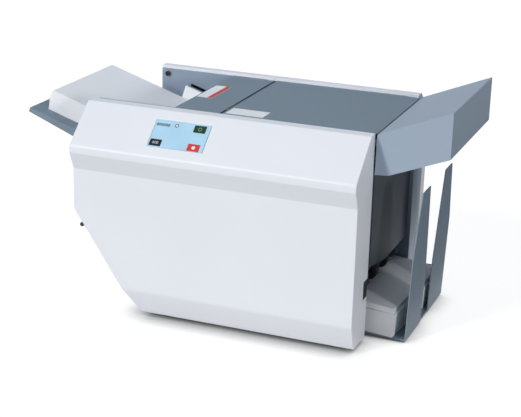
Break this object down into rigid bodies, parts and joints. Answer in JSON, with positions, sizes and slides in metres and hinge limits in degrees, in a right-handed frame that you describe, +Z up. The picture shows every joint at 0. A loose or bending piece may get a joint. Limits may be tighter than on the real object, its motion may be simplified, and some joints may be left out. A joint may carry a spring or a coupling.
{
  "type": "paper folding machine",
  "caption": "Desktop paper folder with white side covers, a sloping feed tray, fold rollers and plates, a hinged exit hood and a catch tray.",
  "frame": {"origin": "on the desk, under the middle of the machine's box", "axes": "+X from the feed end to the exit end, +Y from the operator's side to the back, +Z up"},
  "size_m": [0.717, 0.425, 0.3912],
  "materials": {
    "white_paint": "smooth satin enamel",
    "grey_paint": "fine-textured powder coat",
    "dark_paint": "fine-textured powder coat",
    "guide_paint": "smooth satin enamel",
    "bright_steel": "ground",
    "black_plastic": "moulded, fine grain",
    "gear_plastic": "moulded",
    "black_paint": "satin",
    "rubber": "ground",
    "paper": "uncoated office paper",
    "label": "satin film",
    "display": "smooth, slightly glossy",
    "circuit_board": "lacquered"
  },
  "bodies": {
    "machine": {"front_cover": "white_paint", "rear_cover": "white_paint", "front_frame": "grey_paint", "rear_frame": "grey_paint", "base_plate": "grey_paint", "rubber_feet": "rubber", "tie_bars": "bright_steel", "end_panel": "dark_paint", "infeed_panel": "grey_paint", "power_inlet": "black_plastic", "switch_housing": "black_plastic", "feed_table": "grey_paint", "infeed_tray": "grey_paint", "tray_screws": "black_plastic", "stack_stop": "grey_paint", "separator_pad": "rubber", "entry_guide": "bright_steel", "turn_guide": "bright_steel", "exit_guide": "bright_steel", "upper_fold_plate": "bright_steel", "lower_fold_plate": "bright_steel", "drive_motor": "black_paint", "display_panel": "display", "control_board": "circuit_board", "exit_housing": "black_plastic", "feed_cover_pin": "bright_steel", "top_cover_pin": "bright_steel", "hood_pins": "grey_paint"},
    "feed_lid": {"feed_cover": "grey_paint", "feed_label": "label"},
    "top_lid": {"top_cover": "grey_paint", "top_label": "label"},
    "hood": {"hood": "grey_paint"},
    "rear_guide": {"rear_guide": "guide_paint"},
    "front_guide": {"front_guide": "guide_paint"},
    "paper_stack": {"paper_stack": "paper"},
    "release_lever": {"release_lever": "black_paint"},
    "switch_rocker": {"switch_rocker": "black_plastic"},
    "upper_stop": {"upper_fold_stop": "bright_steel", "upper_stop_knob": "black_plastic"},
    "lower_stop": {"lower_fold_stop": "bright_steel", "lower_stop_knob": "black_plastic"},
    "feed_roller": {"feed_shaft": "bright_steel", "feed_tyre": "rubber"},
    "press_feed": {"press_roller_feed": "bright_steel", "press_gear_feed": "gear_plastic"},
    "press_exit": {"press_roller_exit": "bright_steel", "press_gear_exit": "gear_plastic"},
    "pinion": {"motor_pinion": "bright_steel"},
    "exit_upper": {"exit_shaft_upper": "bright_steel", "exit_tyres_upper": "rubber"},
    "exit_lower": {"exit_shaft_lower": "bright_steel", "exit_tyres_lower": "rubber"},
    "catch_tray": {"catch_tray": "grey_paint"},
    "folded_pile": {"pile_lower": "paper", "pile_upper": "paper"},
    "fold_1": {"fold_roller_1": "bright_steel"},
    "fold_2": {"fold_roller_2": "bright_steel"},
    "fold_3": {"fold_roller_3": "bright_steel"},
    "fold_4": {"fold_roller_4": "bright_steel"}
  },
  "joints": [
    {"name": "feed_lid_hinge", "type": "hinge", "parent": "machine", "child": "feed_lid", "pos_m": [-0.0251, 0, 0.336], "axis": [0, 1, 0], "range_deg": [0, 85]},
    {"name": "top_lid_hinge", "type": "hinge", "parent": "machine", "child": "top_lid", "pos_m": [0.228, 0, 0.3355], "axis": [0, 1, 0], "range_deg": [0, 80]},
    {"name": "hood_hinge", "type": "hinge", "parent": "machine", "child": "hood", "pos_m": [0.2475, 0, 0.3392], "axis": [0, -1, 0], "range_deg": [0, 45]},
    {"name": "rear_guide_slide", "type": "slide", "parent": "machine", "child": "rear_guide", "axis": [0, 1, 0], "range_m": [0, 0.008]},
    {"name": "front_guide_slide", "type": "slide", "parent": "machine", "child": "front_guide", "axis": [0, 1, 0], "range_m": [-0.008, 0]},
    {"name": "stack_slide", "type": "slide", "parent": "machine", "child": "paper_stack", "axis": [-0.9537, 0, 0.3007], "range_m": [0, 0.2]},
    {"name": "release_lever_hinge", "type": "hinge", "parent": "machine", "child": "release_lever", "pos_m": [-0.149, -0.119, 0.19], "axis": [0, 1, 0], "range_deg": [0, 25]},
    {"name": "switch_hinge", "type": "hinge", "parent": "machine", "child": "switch_rocker", "pos_m": [-0.2275, 0.017, 0.215], "axis": [0, -1, 0], "range_deg": [0, 16]},
    {"name": "upper_stop_slide", "type": "slide", "parent": "machine", "child": "upper_stop", "axis": [0.927, 0, 0.3751], "range_m": [-0.036, 0.04]},
    {"name": "lower_stop_slide", "type": "slide", "parent": "machine", "child": "lower_stop", "axis": [-0.8, 0, -0.6], "range_m": [-0.02, 0.036]},
    {"name": "feed_roller_spin", "type": "hinge", "parent": "machine", "child": "feed_roller", "pos_m": [-0.09831, 0, 0.21487], "axis": [0, 1, 0], "continuous": true},
    {"name": "fold_1_spin", "type": "hinge", "parent": "machine", "child": "fold_1", "pos_m": [0.12632, 0, 0.27454], "axis": [0, 1, 0], "continuous": true},
    {"name": "fold_2_spin", "type": "hinge", "parent": "machine", "child": "fold_2", "pos_m": [0.13768, 0, 0.24646], "axis": [0, 1, 0], "continuous": true},
    {"name": "fold_3_spin", "type": "hinge", "parent": "machine", "child": "fold_3", "pos_m": [0.15586, 0, 0.22222], "axis": [0, 1, 0], "continuous": true},
    {"name": "fold_4_spin", "type": "hinge", "parent": "machine", "child": "fold_4", "pos_m": [0.14231, 0, 0.19511], "axis": [0, 1, 0], "continuous": true},
    {"name": "press_feed_spin", "type": "hinge", "parent": "machine", "child": "press_feed", "pos_m": [0.16785, 0, 0.14], "axis": [0, 1, 0], "continuous": true},
    {"name": "press_exit_spin", "type": "hinge", "parent": "machine", "child": "press_exit", "pos_m": [0.20415, 0, 0.14], "axis": [0, 1, 0], "continuous": true},
    {"name": "pinion_spin", "type": "hinge", "parent": "machine", "child": "pinion", "pos_m": [0.1435, 0, 0.12782], "axis": [0, 1, 0], "continuous": true},
    {"name": "exit_upper_spin", "type": "hinge", "parent": "machine", "child": "exit_upper", "pos_m": [0.216, 0, 0.10815], "axis": [0, 1, 0], "continuous": true},
    {"name": "exit_lower_spin", "type": "hinge", "parent": "machine", "child": "exit_lower", "pos_m": [0.216, 0, 0.08385], "axis": [0, 1, 0], "continuous": true},
    {"name": "catch_tray_slide", "type": "slide", "parent": "machine", "child": "catch_tray", "axis": [1, 0, 0], "range_m": [0, 0.15]},
    {"name": "pile_lift", "type": "slide", "parent": "catch_tray", "child": "folded_pile", "axis": [0, 0, 1], "range_m": [0, 0.01]}
  ],
  "couplings": [
    {"joint": "front_guide_slide", "follows": "rear_guide_slide", "ratio": -1},
    {"joint": "fold_2_spin", "follows": "fold_1_spin", "ratio": -1},
    {"joint": "fold_3_spin", "follows": "fold_1_spin", "ratio": 1},
    {"joint": "fold_4_spin", "follows": "fold_1_spin", "ratio": -1},
    {"joint": "press_exit_spin", "follows": "press_feed_spin", "ratio": -1},
    {"joint": "pinion_spin", "follows": "press_feed_spin", "ratio": -2},
    {"joint": "exit_lower_spin", "follows": "exit_upper_spin", "ratio": -1}
  ]
}
